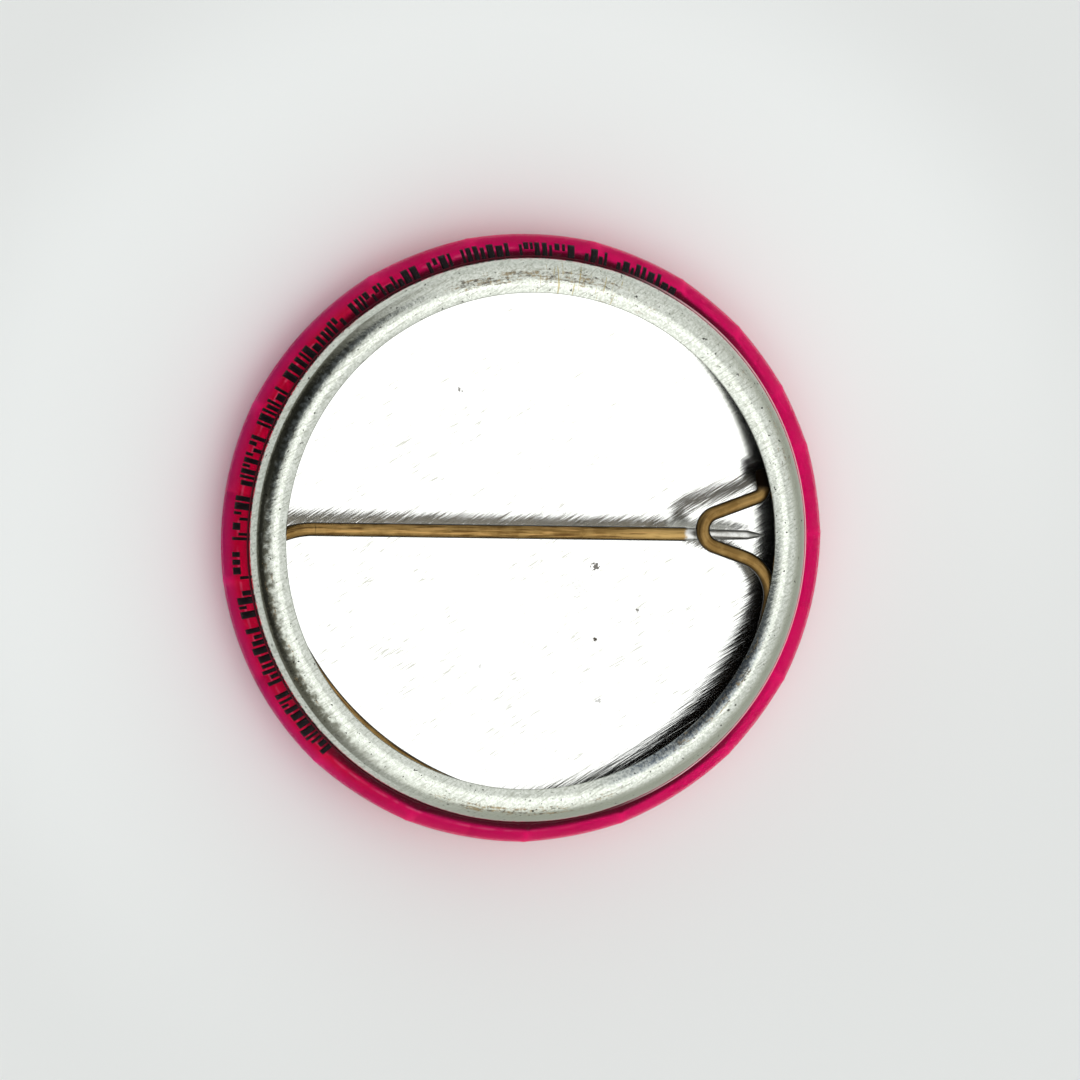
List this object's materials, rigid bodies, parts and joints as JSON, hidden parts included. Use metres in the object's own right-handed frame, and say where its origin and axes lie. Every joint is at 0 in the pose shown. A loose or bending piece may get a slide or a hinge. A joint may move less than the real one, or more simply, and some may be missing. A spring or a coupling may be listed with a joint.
{
  "type": "button badge",
  "caption": "Round pin-back button badge: gently domed tinplate front in film over paper, rolled collet ring behind, and a spring wire with hoop, V catch and pivoting pin.",
  "frame": {"origin": "middle of the front's flat face, on the badge's axis, with the badge lying on its front", "axes": "+Z points out of the open back, +X runs along the closed pin from its root to its point, +Y is across the pin"},
  "size_m": [0.038, 0.038, 0.0061],
  "materials": {
    "shell_tinplate": "bright tinplate with fine diagonal rolling marks",
    "collet_tinplate": "bright tinplate, rubbed and spotted by handling",
    "printed_paper": "smooth printed paper, hot pink",
    "clear_film": "glossy clear film over the print",
    "bronzed_wire": "bronze-coloured drawn spring wire, bare where ground to a point"
  },
  "bodies": {
    "badge": {"front_shell": "shell_tinplate", "printed_paper": "printed_paper", "clear_film": "clear_film", "collet_ring": "collet_tinplate"},
    "wire_hoop": {"spring_hoop": "bronzed_wire"},
    "wire_root": {"pin_root": "bronzed_wire"},
    "wire_pin": {"pin_arm": "bronzed_wire"}
  },
  "joints": [
    {"name": "hoop_turn", "type": "hinge", "parent": "badge", "child": "wire_hoop", "pos_m": [0, 0, 0.0052], "axis": [0, 0, 1], "continuous": true},
    {"name": "pin_twist", "type": "hinge", "parent": "wire_hoop", "child": "wire_root", "pos_m": [-0.013, 0.0005, 0.0052], "axis": [-0.9996, 0, 0.0288], "range_deg": [0, 105]},
    {"name": "pin_bend", "type": "hinge", "parent": "wire_root", "child": "wire_pin", "pos_m": [-0.013, 0.0005, 0.0052], "axis": [-0.0278, 0.2588, -0.9655], "range_deg": [0, 30]}
  ],
  "couplings": [
    {"joint": "pin_twist", "follows": "pin_bend", "ratio": 3.5}
  ]
}
